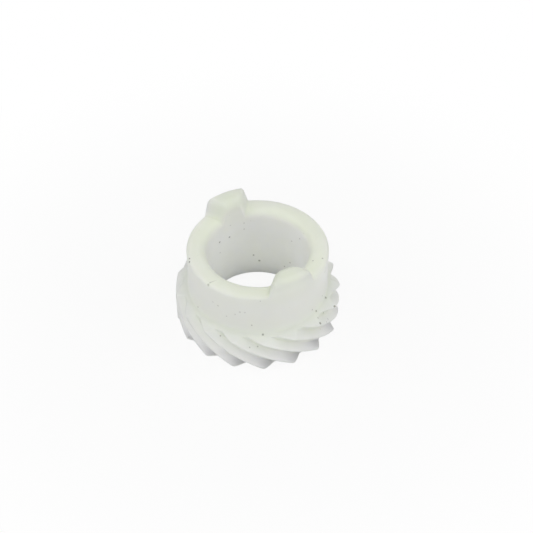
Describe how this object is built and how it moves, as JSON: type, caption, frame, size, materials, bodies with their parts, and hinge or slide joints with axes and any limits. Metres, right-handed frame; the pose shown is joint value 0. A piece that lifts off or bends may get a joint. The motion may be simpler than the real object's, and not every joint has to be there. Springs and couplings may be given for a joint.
{
  "type": "helical drive gear",
  "caption": "Moulded ring gear with a strongly skewed helical tooth band, a plain collar, a through bore and opposite drive lugs on the rim.",
  "frame": {"origin": "centre of the bore in the plane of the flat toothed foot", "axes": "+Z along the bore from the toothed foot to the lugs; the first lug lies 119 degrees anticlockwise from +X, seen from above, and the second is opposite"},
  "size_m": [0.036, 0.036, 0.0227],
  "materials": {
    "nylon": "natural milky nylon, slightly translucent, satin, with fine dark specks"
  },
  "bodies": {
    "root": {"drive_gear": "nylon"}
  },
  "joints": []
}
